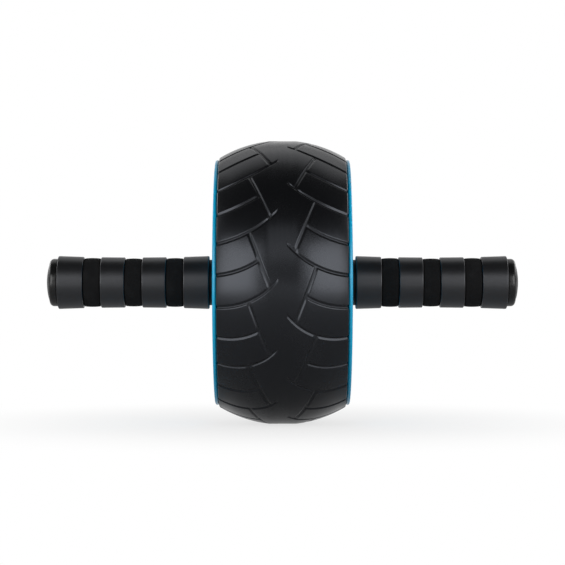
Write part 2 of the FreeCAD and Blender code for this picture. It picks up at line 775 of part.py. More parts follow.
tyre()
axle()
screws()
for side, place in SIDES.items():
    drum_half(side, place)
    cover(side, place)
    bearing(side, place)
    collar(side, place)
    grip(side, place)
    end_fixings(side, place)
doc.recompute()

for part in doc.Objects:
    if "Invalid" in part.State or "Error" in part.State:
        raise RuntimeError(f"{part.Label} failed: {part.State}")
for part in sub_parts:
    if part.Shape.isNull() or not part.Shape.isValid() or not part.Shape.Solids:
        raise RuntimeError(f"{part.Label} has no valid solid")

os.makedirs("parts", exist_ok=True)
for part in sub_parts:
    part.Shape.exportStep(os.path.join("parts", f"{part.Label}.step"))
    print(f"{part.Label}: {len(part.Shape.Solids)} solids, {part.Shape.Volume:.1f} mm3")
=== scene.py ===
import json
import math
import bmesh
import bpy
from mathutils import Matrix, Vector, noise


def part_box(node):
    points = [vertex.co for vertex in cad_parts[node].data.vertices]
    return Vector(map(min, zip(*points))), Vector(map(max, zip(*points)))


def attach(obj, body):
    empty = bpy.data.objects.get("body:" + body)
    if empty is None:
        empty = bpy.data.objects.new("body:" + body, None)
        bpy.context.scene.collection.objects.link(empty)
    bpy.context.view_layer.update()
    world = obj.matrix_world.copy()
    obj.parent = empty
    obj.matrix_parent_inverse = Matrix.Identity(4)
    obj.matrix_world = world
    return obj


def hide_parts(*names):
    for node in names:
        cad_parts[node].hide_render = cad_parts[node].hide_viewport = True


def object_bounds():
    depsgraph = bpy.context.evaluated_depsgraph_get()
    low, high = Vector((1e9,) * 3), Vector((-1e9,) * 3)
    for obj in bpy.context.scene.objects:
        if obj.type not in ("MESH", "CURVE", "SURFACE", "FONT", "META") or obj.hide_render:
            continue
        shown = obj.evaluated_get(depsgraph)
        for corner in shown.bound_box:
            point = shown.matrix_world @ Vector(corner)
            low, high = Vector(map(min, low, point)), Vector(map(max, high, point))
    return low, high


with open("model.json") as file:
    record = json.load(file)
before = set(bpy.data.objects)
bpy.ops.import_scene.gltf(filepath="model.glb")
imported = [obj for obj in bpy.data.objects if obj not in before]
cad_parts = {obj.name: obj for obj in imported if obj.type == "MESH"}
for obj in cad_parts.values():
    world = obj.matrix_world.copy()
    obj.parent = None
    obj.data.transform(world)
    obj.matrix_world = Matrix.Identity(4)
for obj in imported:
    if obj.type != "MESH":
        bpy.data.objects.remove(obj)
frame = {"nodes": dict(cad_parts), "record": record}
cadLow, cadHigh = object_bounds()
nodes = frame["nodes"]
scene = bpy.context.scene
sides = {"right": 1, "left": -1}
mm = 0.001
fullTurn = 2 * math.pi


class Shade:
    # one shader socket; sums with it add Math nodes, add() makes any other node
    def __init__(self, tree, socket=None):
        self.tree = tree
        self.socket = socket

    def fill(self, made, inputs):
        for key, value in inputs.items():
            if isinstance(value, Shade):
                self.tree.links.new(value.socket, made.inputs[key])
            else:
                made.inputs[key].default_value = value

    def add(self, kind, settings={}, inputs={}, output=0):
        made = self.tree.nodes.new(kind)
        for key, value in settings.items():
            if key == "stops":
                ends = made.color_ramp.elements
                ends[0].position, ends[0].color = value[0]
                ends[1].position, ends[1].color = value[-1]
                for position, tint in value[1:-1]:
                    ends.new(position).color = tint
            else:
                setattr(made, key, value)
        self.fill(made, inputs)
        return Shade(self.tree, made.outputs[output])

    def maths(self, operation, first, second, clamp=False):
        settings = {"operation": operation, "use_clamp": clamp}
        return self.add("ShaderNodeMath", settings, {0: first, 1: second})

    def __add__(self, other):
        return self.maths("ADD", self, other)

    def __radd__(self, other):
        return self.maths("ADD", other, self)

    def __sub__(self, other):
        return self.maths("SUBTRACT", self, other)

    def __rsub__(self, other):
        return self.maths("SUBTRACT", other, self)

    def __mul__(self, other):
        return self.maths("MULTIPLY", self, other)

    def __rmul__(self, other):
        return self.maths("MULTIPLY", other, self)

    def clipped(self):  # held between 0 and 1
        return self.maths("ADD", self, 0.0, True)

    def between(self, low, high):  # 0 below low, 1 above high, eased
        settings = {"interpolation_type": "SMOOTHSTEP"}
        return self.add("ShaderNodeMapRange", settings, {0: self, 1: low, 2: high})

    def cloud(self, scale, detail=3.0, roughness=0.5, distortion=0.0):
        inputs = {"Vector": self, "Scale": scale, "Detail": detail, "Roughness": roughness,
                  "Distortion": distortion}
        return self.add("ShaderNodeTexNoise", {}, inputs)

    def cells(self, scale, feature="F1"):
        inputs = {"Vector": self, "Scale": scale}
        return self.add("ShaderNodeTexVoronoi", {"feature": feature}, inputs)

    def stretched(self, scale):
        return self.add("ShaderNodeMapping", {}, {"Vector": self, "Scale": scale})

    def axis(self, letter):
        return self.add("ShaderNodeSeparateXYZ", {}, {0: self}, letter)

    def ray(self, kind):
        return self.add("ShaderNodeLightPath", {}, {}, kind)

    def blend(self, factor, first, second, way="MIX"):
        settings = {"data_type": "RGBA", "blend_type": way}
        return self.add("ShaderNodeMix", settings, {0: factor, 6: first, 7: second}, 2)

    def bump(self, height, strength, distance):
        inputs = {"Height": height, "Strength": strength, "Distance": distance}
        return self.add("ShaderNodeBump", {}, inputs)


def newFinish(name):
    material = bpy.data.materials.new(name)
    material.use_nodes = True
    surface = material.node_tree.nodes["Principled BSDF"]
    place = Shade(material.node_tree).add("ShaderNodeTexCoord", {}, {}, "Object")
    return material, surface, place


def colour(red, green, blue):
    return (red, green, blue, 1.0)


def grey(value):
    return colour(value, value, value)


def toned(base, gain, lift=0.0):
    return colour(*(value * gain + lift for value in base[:3]))


# moulded tyre rubber: satin black, a fine mould grain, paler dust low in the grooves, and a painted cool
# blue tint on its highlights
tyreLook = {
    "black": colour(0.0035, 0.0037, 0.0042), "dust": colour(0.013, 0.013, 0.014),
    "paintedCoolHighlightTint": colour(0.84, 0.89, 1.0), "grainScale": 1500, "patchScale": 38, "patchEdge": (0.5, 0.8),
    "grooveDust": 0.25, "patchDust": 0.16,
    "roughness": 0.18, "patchRough": 0.10, "grainRough": 0.06, "grooveRough": 0.04,
    "patchBump": 0.3, "bump": 0.14, "bumpDepth": 0.12 * mm,
}


def makeTyreRubber():
    look = tyreLook
    material, surface, place = newFinish("tyreRubber")
    patches = place.cloud(look["patchScale"], detail=4.0)
    grain = place.cloud(look["grainScale"], detail=2.0)
    groove = place.add("ShaderNodeAttribute", {"attribute_name": "tread"}, {}, "Fac")
    dusty = groove * look["grooveDust"] + patches.between(*look["patchEdge"]) * look["patchDust"]
    rough = patches * look["patchRough"] + grain * look["grainRough"] + groove * look["grooveRough"]
    place.fill(surface, {
        "Base Color": place.blend(dusty.clipped(), look["black"], look["dust"]),
        "Roughness": rough + look["roughness"],
        "Normal": place.bump(grain + patches * look["patchBump"], look["bump"], look["bumpDepth"]),
        # painted cool blue tint on the highlights, standing in for cool lamp light
        "Specular Tint": look["paintedCoolHighlightTint"],
    })
    return material


# side covers: gloss blue plastic, slightly uneven as moulded, with fine rubbing marks
coverLook = {
    "blue": colour(0.003, 0.40, 0.68), "deep": colour(0.002, 0.35, 0.60),
    "flowScale": 26, "flowEdge": (0.3, 0.75), "peelScale": 260,
    "rubStretch": (60, 900, 60), "rubScale": 6.0, "rubEdge": (0.56, 0.74),
    "roughness": 0.24, "flowRough": 0.06, "rubRough": 0.16,
    "rubBump": 0.2, "bump": 0.05, "bumpDepth": 0.3 * mm,
}


def makeCoverPlastic():
    look = coverLook
    material, surface, place = newFinish("coverPlastic")
    flow = place.cloud(look["flowScale"])
    peel = place.cloud(look["peelScale"], detail=1.0)
    rubbed = place.stretched(look["rubStretch"]).cloud(look["rubScale"], detail=5.0, roughness=0.7)
    rubbed = rubbed.between(*look["rubEdge"])
    place.fill(surface, {
        "Base Color": place.blend(flow.between(*look["flowEdge"]), look["blue"], look["deep"]),
        "Roughness": flow * look["flowRough"] + rubbed * look["rubRough"] + look["roughness"],
        "Normal": place.bump(peel + rubbed * look["rubBump"], look["bump"], look["bumpDepth"]),
    })
    return material


# black plastics: gloss for caps and collars, plainer for the hidden cores and drum
blackPlastics = {  # colour, roughness, shine
    "capPlastic": (colour(0.005, 0.005, 0.0053), 0.2, 0.5),
    "collarPlastic": (colour(0.004, 0.004, 0.0045), 0.42, 0.2),
    "corePlastic": (colour(0.012, 0.012, 0.0125), 0.45, 0.5),
    "drumPlastic": (colour(0.02, 0.02, 0.021), 0.5, 0.5),
}
blackLook = {
    "paleGain": 2.2, "paleLift": 0.004, "hazeScale": 55, "hazeEdge": (0.55, 0.85), "peelScale": 420,
    "scratchStretch": (240, 30, 240), "scratchScale": 9.0, "scratchEdge": (0.62, 0.7),
    "hazePale": 0.2, "scratchPale": 0.5, "hazeRough": 0.08, "scratchRough": 0.18,
    "scratchBump": 0.4, "bump": 0.05, "bumpDepth": 0.2 * mm,
}


def makeBlackPlastic(name):
    look = blackLook
    material, surface, place = newFinish(name)
    base, roughness, shine = blackPlastics[name]
    haze = place.cloud(look["hazeScale"], detail=4.0)
    peel = place.cloud(look["peelScale"], detail=1.0)
    scratches = place.stretched(look["scratchStretch"])
    scratches = scratches.cloud(look["scratchScale"], detail=4.0, roughness=0.75, distortion=0.6)
    scratches = scratches.between(*look["scratchEdge"])
    worn = scratches * look["scratchPale"] + haze.between(*look["hazeEdge"]) * look["hazePale"]
    pale = toned(base, look["paleGain"], look["paleLift"])
    place.fill(surface, {
        "Base Color": place.blend(worn.clipped(), base, pale),
        "Roughness": haze * look["hazeRough"] + scratches * look["scratchRough"] + roughness,
        "Normal": place.bump(peel + scratches * look["scratchBump"], look["bump"], look["bumpDepth"]),
        "Specular IOR Level": shine,
    })
    return material


# grip rings: dense satin rubber with a soft leathery mould texture, and a painted cool tint on its
# highlights
ringLook = {
    "grey": colour(0.0055, 0.0055, 0.006), "worn": colour(0.011, 0.011, 0.0117),
    "paintedCoolHighlightTint": colour(0.92, 0.94, 1.0), "shine": 0.8,
    "patchScale": 70, "patchEdge": (0.5, 0.8), "leatherScale": 1050, "grainScale": 2400,
    "patchWear": 0.5, "grainWear": 0.15, "roughness": 0.29, "patchRough": 0.08, "grainRough": 0.06,
    "leatherBump": 0.8, "grainBump": 0.5, "bump": 0.10, "bumpDepth": 0.1 * mm,
}


def makeRingRubber():
    look = ringLook
    material, surface, place = newFinish("ringRubber")
    patches = place.cloud(look["patchScale"], detail=4.0)
    leather = place.cells(look["leatherScale"], "SMOOTH_F1")
    grain = place.cloud(look["grainScale"], detail=2.0)
    worn = patches.between(*look["patchEdge"]) * look["patchWear"] + grain * look["grainWear"]
    height = leather * look["leatherBump"] + grain * look["grainBump"]
    place.fill(surface, {
        "Base Color": place.blend(worn.clipped(), look["grey"], look["worn"]),
        "Roughness": patches * look["patchRough"] + grain * look["grainRough"] + look["roughness"],
        "Normal": place.bump(height, look["bump"], look["bumpDepth"]),
        "Specular IOR Level": look["shine"],
        # painted cool tint on the highlights, standing in for cool lamp light
        "Specular Tint": look["paintedCoolHighlightTint"],
    })
    return material


# foam bands: matt closed-cell foam, tiny open pores and a little lint
foamLook = {
    "black": colour(0.0053, 0.0053, 0.0057), "pale": colour(0.0155, 0.0155, 0.016), "shine": 0.14,
    "poreScale": 1700, "fineScale": 4200, "patchScale": 120, "patchEdge": (0.45, 0.8),
    "patchPale": 0.4, "finePale": 0.3, "roughness": 0.83, "patchRough": 0.10,
    "fineBump": 0.5, "patchBump": 0.6, "bump": 0.55, "bumpDepth": 0.22 * mm,
}


def makeBandFoam():
    look = foamLook
    material, surface, place = newFinish("bandFoam")
    pores = place.cells(look["poreScale"])
    fine = place.cells(look["fineScale"])
    patches = place.cloud(look["patchScale"])
    skin = patches.between(*look["patchEdge"]) * look["patchPale"] + fine * look["finePale"]
    height = pores + fine * look["fineBump"] + patches * look["patchBump"]
    place.fill(surface, {
        "Base Color": place.blend(skin.clipped(), look["black"], look["pale"]),
        "Roughness": patches * look["patchRough"] + look["roughness"],
        "Normal": place.bump(height, look["bump"], look["bumpDepth"]),
        "Specular IOR Level": look["shine"],
    })
    return material


# metals: zinc on the screws, ground steel in the bearings, drawn bar for the axle
metals = {  # colour, roughness, stretch of the tool lines
    "screwSteel": (colour(0.50, 0.51, 0.53), 0.25, (180, 180, 180)),
    "bearingSteel": (colour(0.62, 0.62, 0.63), 0.11, (40, 900, 40)),
    "axleSteel": (colour(0.54, 0.54, 0.55), 0.21, (60, 700, 60)),
}
metalLook = {
    "lineScale": 5.0, "stainScale": 90, "stainEdge": (0.5, 0.85), "dullGain": 0.72,
    "lineRough": 0.14, "stainRough": 0.12, "bump": 0.08, "bumpDepth": 0.1 * mm,
}


def makeMetal(name):
    look = metalLook
    material, surface, place = newFinish(name)
    base, roughness, stretch = metals[name]
    lines = place.stretched(stretch).cloud(look["lineScale"], detail=4.0, roughness=0.6)
    stain = place.cloud(look["stainScale"], detail=4.0).between(*look["stainEdge"])
    place.fill(surface, {
        "Base Color": place.blend(stain, base, toned(base, look["dullGain"])),
        "Metallic": 1.0,
        "Roughness": lines * look["lineRough"] + stain * look["stainRough"] + roughness,
        "Normal": place.bump(lines, look["bump"], look["bumpDepth"]),
    })
    return material


# bearing cages: moulded nylon, cream with a faint flow
nylonLook = {
    "white": colour(0.62, 0.58, 0.47), "shade": colour(0.50, 0.46, 0.36),
    "flowScale": 240, "flowEdge": (0.35, 0.75), "grainScale": 2600,
    "roughness": 0.42, "flowRough": 0.12, "bump": 0.12, "bumpDepth": 0.1 * mm,
}


def makeCageNylon():
    look = nylonLook
    material, surface, place = newFinish("cageNylon")
    flow = place.cloud(look["flowScale"])
    grain = place.cloud(look["grainScale"], detail=2.0)
    place.fill(surface, {
        "Base Color": place.blend(flow.between(*look["flowEdge"]), look["white"], look["shade"]),
        "Roughness": flow * look["flowRough"] + look["roughness"],
        "Normal": place.bump(grain, look["bump"], look["bumpDepth"]),
    })
    return material


finishes = {
    "tyre_rubber": makeTyreRubber(),
    "cover_plastic": makeCoverPlastic(),
    "drum_plastic": makeBlackPlastic("drumPlastic"),
    "core_plastic": makeBlackPlastic("corePlastic"),
    "collar_plastic": makeBlackPlastic("collarPlastic"),
    "cap_plastic": makeBlackPlastic("capPlastic"),
    "ring_rubber": makeRingRubber(),
    "band_foam": makeBandFoam(),
    "screw_steel": makeMetal("screwSteel"),
    "bearing_steel": makeMetal("bearingSteel"),
    "axle_steel": makeMetal("axleSteel"),
    "cage_nylon": makeCageNylon(),
}
for part in frame["record"]["subparts"]:
    nodes[part["node"]].data.materials.clear()
    nodes[part["node"]].data.materials.append(finishes[part["material_slot"]])
print("finishes: %d made and given to the nodes" % len(finishes))


weldGap = 0.002 * mm  # points nearer than this become one


def addPiece(name, mesh, body, slot, replaced):
    bmesh.ops.remove_doubles(mesh, verts=mesh.verts, dist=weldGap)
    bmesh.ops.recalc_face_normals(mesh, faces=mesh.faces)
    for face in mesh.faces:
        face.smooth = True
    data = bpy.data.meshes.new(name)
    mesh.to_mesh(data)
    mesh.free()
    data.materials.append(finishes[slot])
    piece = bpy.data.objects.new(name, data)
    scene.collection.objects.link(piece)
    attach(piece, body)
    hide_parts(replaced)
    return piece


def evenShade(piece):  # broad faces stay flat, the shading turns in the narrow ones
    even = piece.modifiers.new("evenShade", "WEIGHTED_NORMAL")
    even.mode = "FACE_AREA"
    even.weight = 50


def drawLine(mesh, points, closed=False):
    corners = [mesh.verts.new(point) for point in points]
    ends = corners[1:] + corners[:1] if closed else corners[1:]
    return corners, [mesh.edges.new(pair) for pair in zip(corners, ends)]


def roundCorners(mesh, corners, offset, segments):
    bmesh.ops.bevel(mesh, geom=corners, offset=offset, offset_type="OFFSET", segments=segments,
                    profile=0.5, affect="VERTICES", material=-1)


def spinRound(mesh, geom, steps):
    bmesh.ops.spin(mesh, geom=geom, cent=(0, 0, 0), axis=(0, 1, 0), angle=fullTurn, steps=steps,
                   use_merge=True)


def everyPart(mesh):
    return mesh.verts[:] + mesh.edges[:] + mesh.faces[:]


def copyParts(mesh, parts):
    copied = bmesh.ops.duplicate(mesh, geom=parts)["geom"]
    return [item for item in copied if isinstance(item, bmesh.types.BMVert)]


def turnPoints(mesh, points, angle):
    bmesh.ops.rotate(mesh, verts=points, cent=(0, 0, 0), matrix=Matrix.Rotation(angle, 3, "Y"))


def repeatRound(mesh, count):
    first = everyPart(mesh)
    for number in range(1, count):
        turnPoints(mesh, copyParts(mesh, first), number * fullTurn / count)


# tyre: one repeat of the tread laid flat, its grooves pressed in, then wrapped round the barrel
tyreShape = {
    "repeats": 13, "crownRadius": 77.5 * mm, "crownFlat": 8.5 * mm, "corner": 1.3 * mm,
    "wall": 5.5 * mm, "lip": 0.5 * mm, "lap": 0.8 * mm, "flatRadius": 87 * mm,
    "firstGroove": math.radians(3.05), "sweepRadius": 51.5 * mm, "sweepReach": 42.4 * mm,
    "longStart": 3 * mm, "diagonalOut": 20.5 * mm, "diagonalIn": 7.5 * mm,
    "grooveWidth": 2.4 * mm, "rim": 0.55 * mm, "pinch": 0.8, "pinchReach": 4.5 * mm,
    "landRows": 9, "firstStep": 2.6 * mm, "columnStep": 1.8 * mm, "cornerRows": 4, "insideRows": 8,
    "snap": 0.03 * mm,
    "pressing": [(0.20, 0.02), (0.24, 0.07), (0.28, 0.145), (0.32, 0.21), (0.28, 0.175),
                 (0.18, 0.08), (0.10, 0.02)],  # mm inwards and mm down
}
grooveMark, wallMark = 1, 2  # face marks while the grooves are pressed, 0 elsewhere
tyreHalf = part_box("tyre")[1].y + tyreShape["lip"]
tyreRadius = max(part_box("tyre")[1].x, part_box("tyre")[1].z)
crownCentre = tyreRadius - math.sqrt(tyreShape["crownRadius"] ** 2 - tyreShape["crownFlat"] ** 2)
cornerAlong = tyreHalf - tyreShape["corner"]
cornerLean = math.asin(cornerAlong / (tyreShape["crownRadius"] - tyreShape["corner"]))
cornerRadius = crownCentre + (tyreShape["crownRadius"] - tyreShape["corner"]) * math.cos(cornerLean)
cornerStart = tyreShape["crownRadius"] * math.sin(cornerLean)
cornerEnd = cornerStart + tyreShape["corner"] * (math.pi / 2 - cornerLean)
insideRadius = tyreShape["crownRadius"] - tyreShape["wall"]
sideEnd = cornerEnd + cornerRadius - crownCentre - math.sqrt(insideRadius ** 2 - tyreHalf ** 2)


# for a distance over the tyre: the place along the axle, the radius, and the outward face's lean
def tyreProfile(reach):
    if reach <= cornerStart:
        radius = crownCentre + math.sqrt(tyreShape["crownRadius"] ** 2 - reach ** 2)
        if radius > tyreRadius:
            return reach, tyreRadius, 0.0
        return reach, radius, math.asin(reach / tyreShape["crownRadius"])
    if reach <= cornerEnd:
        lean = cornerLean + (reach - cornerStart) / tyreShape["corner"]
        return (cornerAlong + tyreShape["corner"] * math.sin(lean),
                cornerRadius + tyreShape["corner"] * math.cos(lean), lean)
    if reach <= sideEnd:
        return tyreHalf, cornerRadius - (reach - cornerEnd), math.pi / 2
    along = max(0.0, tyreHalf - (reach - sideEnd))
    radius = crownCentre + math.sqrt(insideRadius ** 2 - along ** 2)
    return along, min(radius, tyreRadius - tyreShape["wall"]), math.pi


def grooveClimb(along):  # how far round the curved grooves have climbed at this place along the axle
    lift = tyreShape["sweepReach"] - along
    rise = tyreShape["sweepRadius"] - math.sqrt(tyreShape["sweepRadius"] ** 2 - lift ** 2)
    return math.asin(rise / tyreProfile(min(along, cornerStart))[1])


def wrapTread(point):
    along, radius, lean = tyreProfile(point.x)
    angle = tyreShape["firstGroove"] + grooveClimb(along) + point.y / tyreShape["flatRadius"]
    along += point.z * math.sin(lean)
    radius += point.z * math.cos(lean)
    return Vector((radius * math.cos(angle), along, radius * math.sin(angle)))


def growRow(mesh, row):
    grown = bmesh.ops.extrude_edge_only(mesh, edges=row)["geom"]
    corners = {item for item in grown if isinstance(item, bmesh.types.BMVert)}
    edges = [item for item in grown if isinstance(item, bmesh.types.BMEdge)]
    return [edge for edge in edges if corners.issuperset(edge.verts)], corners


def layTread(mesh, pitch, halfWidth):
    landEnd = tyreShape["longStart"] - tyreShape["rim"]
    first = landEnd + tyreShape["firstStep"]
    count = round((cornerStart - first) / tyreShape["columnStep"])
    rows = tyreShape["cornerRows"]
    columns = [first + (cornerStart - first) * i / count for i in range(count + 1)]
    columns += [cornerStart + (cornerEnd - cornerStart) * i / rows for i in range(1, rows + 1)]
    reaches = [0.0, landEnd / 2, landEnd] + columns + [cornerEnd + tyreShape["lap"]]
    landStep = (pitch / 2 - 2 * halfWidth) / tyreShape["landRows"]
    steps = ([halfWidth] + [landStep] * tyreShape["landRows"] + [halfWidth]) * 2
    row = drawLine(mesh, [(reach, 0, 0) for reach in reaches])[1]
    for step in steps:
        row, corners = growRow(mesh, row)
        bmesh.ops.translate(mesh, verts=list(corners), vec=(0, -step, 0))
    mesh.normal_update()
    bmesh.ops.reverse_faces(mesh, faces=[face for face in mesh.faces if face.normal.z < 0])
    return columns


def diagonalLine(pitch):  # a point on the diagonal groove's middle, and the way out to the tyre's edge
    top = Vector((tyreShape["diagonalOut"], 0, 0))
    run = (Vector((tyreShape["diagonalIn"], -pitch, 0)) - top).normalized()
    return top, Vector((-run.y, run.x, 0))


def cutFaces(mesh, faces, point, normal):
    touched = dict.fromkeys(item for face in faces for item in (face, *face.edges, *face.verts))
    bmesh.ops.bisect_plane(mesh, geom=list(touched), dist=tyreShape["snap"], plane_co=point,
                           plane_no=normal)


def markGrooves(mesh, pitch, halfWidth):
    top, across = diagonalLine(pitch)
    for offset in (halfWidth, -halfWidth):
        between = [face for face in mesh.faces
                   if -pitch + halfWidth < face.calc_center_median().y < -halfWidth]
        cutFaces(mesh, between, top + across * offset, across)
    for face in mesh.faces:
        centre = face.calc_center_median()
        aside = (centre - top).dot(across)
        onTread = centre.x > tyreShape["longStart"] - tyreShape["rim"]
        inLong = centre.y > -halfWidth or centre.y < halfWidth - pitch
        inShort = abs(centre.y + pitch / 2) < halfWidth and aside > 0
        if onTread and (inLong or inShort or abs(aside) < halfWidth):
            face.material_index = grooveMark


def manySided(mesh):
    return [face for face in mesh.faces if len(face.verts) > 4]


def pressGrooves(mesh, columns):
    inner = [vert for vert in mesh.verts
             if not vert.is_boundary and all(face.material_index for face in vert.link_faces)]
    bmesh.ops.dissolve_verts(mesh, verts=inner)
    for inward, down in tyreShape["pressing"]:
        pressed = [face for face in mesh.faces if face.material_index == grooveMark]
        walls = bmesh.ops.inset_region(mesh, faces=pressed, use_boundary=False, use_even_offset=True,
                                       use_edge_rail=True, thickness=inward * mm, depth=-down * mm)
        for face in walls["faces"]:
            face.material_index = wallMark
    for face in mesh.faces:
        face.material_index = 0
    for reach in columns:  # the grooves' floors follow the crown too
        cutFaces(mesh, manySided(mesh), (reach, 0, 0), (1, 0, 0))
    bmesh.ops.triangulate(mesh, faces=manySided(mesh))


def slimDiagonals(mesh, pitch, halfWidth):  # they are slimmer than the curved grooves
    top, across = diagonalLine(pitch)
    far, pinched = tyreShape["pinchReach"], tyreShape["pinch"] * halfWidth
    for vert in mesh.verts:
        aside = (vert.co - top).dot(across)
        full = min(1.0, -vert.co.y / halfWidth, (pitch + vert.co.y) / halfWidth)
        if abs(aside) < far:
            inside = abs(aside) * tyreShape["pinch"]
            outside = pinched + (abs(aside) - halfWidth) * (far - pinched) / (far - halfWidth)
            wanted = inside if abs(aside) < halfWidth else outside
            vert.co.x += math.copysign(full / across.x, aside) * (wanted - abs(aside))


def lineTread(mesh):  # the tyre's side and inside, grown from the pressed edge
    edge = cornerEnd + tyreShape["lap"]
    rows = tyreShape["insideRows"]
    row = [item for item in mesh.edges if item.is_boundary
           and all(abs(vert.co.x - edge) < tyreShape["snap"] for vert in item.verts)]
    for i in range(rows + 1):
        row, corners = growRow(mesh, row)
        for vert in corners:
            vert.co.x, vert.co.z = sideEnd + tyreHalf * i / rows, 0


def makeTyre():
    pitch = fullTurn / tyreShape["repeats"] * tyreShape["flatRadius"]
    halfWidth = tyreShape["grooveWidth"] / 2 + tyreShape["rim"]
    deepest = -mm * sum(down for inward, down in tyreShape["pressing"])
    mesh = bmesh.new()
    columns = layTread(mesh, pitch, halfWidth)
    markGrooves(mesh, pitch, halfWidth)
    pressGrooves(mesh, columns)
    slimDiagonals(mesh, pitch, halfWidth)
    lineTread(mesh)
    sunk = mesh.verts.layers.float.new("tread")
    for vert in mesh.verts:
        vert[sunk] = vert.co.z / deepest
        vert.co = wrapTread(vert.co)
    repeatRound(mesh, tyreShape["repeats"])
    mirrored = copyParts(mesh, everyPart(mesh))
    bmesh.ops.scale(mesh, verts=mirrored, vec=(1, -1, 1))
    turnPoints(mesh, mirrored, fullTurn / tyreShape["repeats"] / 2)  # the sides are half a pitch apart
    tyre = addPiece("treadedTyre", mesh, "wheel", "tyre_rubber", "tyre")
    evenShade(tyre)
    return tyre


tyrePiece = makeTyre()
print("tyre: %d faces" % len(tyrePiece.data.polygons))


# side covers: the rim and hub turned as one, with six soft pockets pressed between the spokes
coverShape = {
    "spokes": 6, "spokeWidth": 10 * mm, "spokeDrop": 1 * mm, "dish": 4 * mm, "plate": 2.5 * mm,
    "bore": 10.05 * mm, "hub": 23 * mm, "land": 66.3 * mm, "rimDepth": 2.5 * mm,
    "bead": 1.2 * mm, "beadSteps": 5, "softEdge": 0.5 * mm, "softSteps": 3,
    "pocketGap": 0.8 * mm, "outerCorner": 4.5 * mm, "innerCorner": 3 * mm, "cornerSteps": 5,
    "arcSteps": 16, "outerSteps": 10, "innerSteps": 4,
    "pressing": [(0.15, 0.03), (0.20, 0.12), (0.20, 0.30), (0.35, 1.30), (0.25, 0.60), (0.30, 0.40),
                 (0.35, 0.20), (0.40, 0.05)],  # mm inwards and mm down
}


def coverArc(radius, along, first, last, parts):
    angles = [first + (last - first) * i / parts for i in range(parts + 1)]
    return [(radius * math.sin(angle), along, radius * math.cos(angle)) for angle in angles]


def drawPocket(mesh, level, start, end):
    outer = coverShape["land"] - coverShape["spokeDrop"] - coverShape["pocketGap"]
    inner = coverShape["hub"] + coverShape["spokeDrop"] + coverShape["pocketGap"]
    outerLean = math.asin(coverShape["spokeWidth"] / 2 / outer)
    innerLean = math.asin(coverShape["spokeWidth"] / 2 / inner)
    turn, steps = coverShape["outerSteps"], coverShape["cornerSteps"]
    pocket = coverArc(outer, level, start + outerLean, end - outerLean, turn)
    pocket += coverArc(inner, level, end - innerLean, start + innerLean, coverShape["innerSteps"])
    corners = drawLine(mesh, pocket, closed=True)[0]
    roundCorners(mesh, [corners[0], corners[turn]], coverShape["outerCorner"], steps)
    roundCorners(mesh, [corners[turn + 1], corners[-1]], coverShape["innerCorner"], steps)


def pressPocket(mesh, level):
    step = fullTurn / coverShape["spokes"]
    start, end = step / 2, step * 3 / 2  # from one spoke's middle to the next
    outer = coverShape["land"] - coverShape["spokeDrop"]
    inner = coverShape["hub"] + coverShape["spokeDrop"]
    outline = coverArc(outer, level, start, end, coverShape["arcSteps"])
    outline += coverArc(inner, level, end, start, coverShape["arcSteps"])
    outlineEdges = drawLine(mesh, outline, closed=True)[1]
    drawPocket(mesh, level, start, end)
    pocketEdges = [edge for edge in mesh.edges if edge not in outlineEdges]
    bmesh.ops.triangle_fill(mesh, use_beauty=True, edges=outlineEdges + pocketEdges, normal=(0, 1, 0))
    floor = bmesh.ops.contextual_create(mesh, geom=pocketEdges)["faces"]
    mesh.normal_update()
    bmesh.ops.reverse_faces(mesh, faces=[face for face in mesh.faces if face.normal.y < 0])
    for inward, down in coverShape["pressing"]:
        bmesh.ops.inset_region(mesh, faces=floor, use_even_offset=True, thickness=inward * mm,
                               depth=-down * mm)
    repeatRound(mesh, coverShape["spokes"])


def turnCover(mesh, face, rim):
    pressed = set(mesh.verts)
    land, hub, bore = coverShape["land"], coverShape["hub"], coverShape["bore"]
    drop, dish = coverShape["spokeDrop"], coverShape["dish"]
    seat = face - coverShape["rimDepth"]
    back = face - dish - coverShape["plate"]
    outline = [(land - drop, face - drop), (land, face), (rim, face), (rim, seat), (land, seat),
               (land - dish, back), (hub + dish, back), (hub, seat), (bore, seat), (bore, face),
               (hub, face), (hub + drop, face - drop)]
    corners = drawLine(mesh, [(0, along, radius) for radius, along in outline])[0]
    softened = [corners[outline.index(place)] for place in ((land, face), (bore, face), (hub, face))]
    beaded = [corners[outline.index(place)] for place in ((rim, face), (rim, seat))]
    roundCorners(mesh, beaded, coverShape["bead"], coverShape["beadSteps"])
    roundCorners(mesh, softened, coverShape["softEdge"], coverShape["softSteps"])
    turned = [vert for vert in mesh.verts if vert not in pressed]
    lines = list(dict.fromkeys(edge for vert in turned for edge in vert.link_edges))
    spinRound(mesh, turned + lines, coverShape["spokes"] * coverShape["arcSteps"])


def makeCover(side):
    low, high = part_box("cover_" + side)
    face = max(high.y, -low.y)
    mesh = bmesh.new()
    pressPocket(mesh, face - coverShape["spokeDrop"])
    turnCover(mesh, face, high.z)
    bmesh.ops.scale(mesh, verts=mesh.verts, vec=(1, sides[side], 1))
    cover = addPiece("sideCover" + side.capitalize(), mesh, "wheel", "cover_plastic", "cover_" + side)
    evenShade(cover)
    return cover


for side in sides:
    coverPiece = makeCover(side)
print("side covers: 2 of %d faces" % len(coverPiece.data.polygons))


# foam bands: a padded ring, crowned outside, its edges pulled in towards the core
bandShape = {
    "turns": 72, "crown": 0.35 * mm, "crownAt": (-1, -0.6, -0.2, 0.2, 0.6, 1), "edge": 0.8 * mm,
    "edgeSteps": 3, "sideGap": 0.1 * mm, "coreGap": 0.05 * mm,
    "unevenness": 0.06 * mm, "lumpScale": 160, "stillDepth": 1 * mm,
}


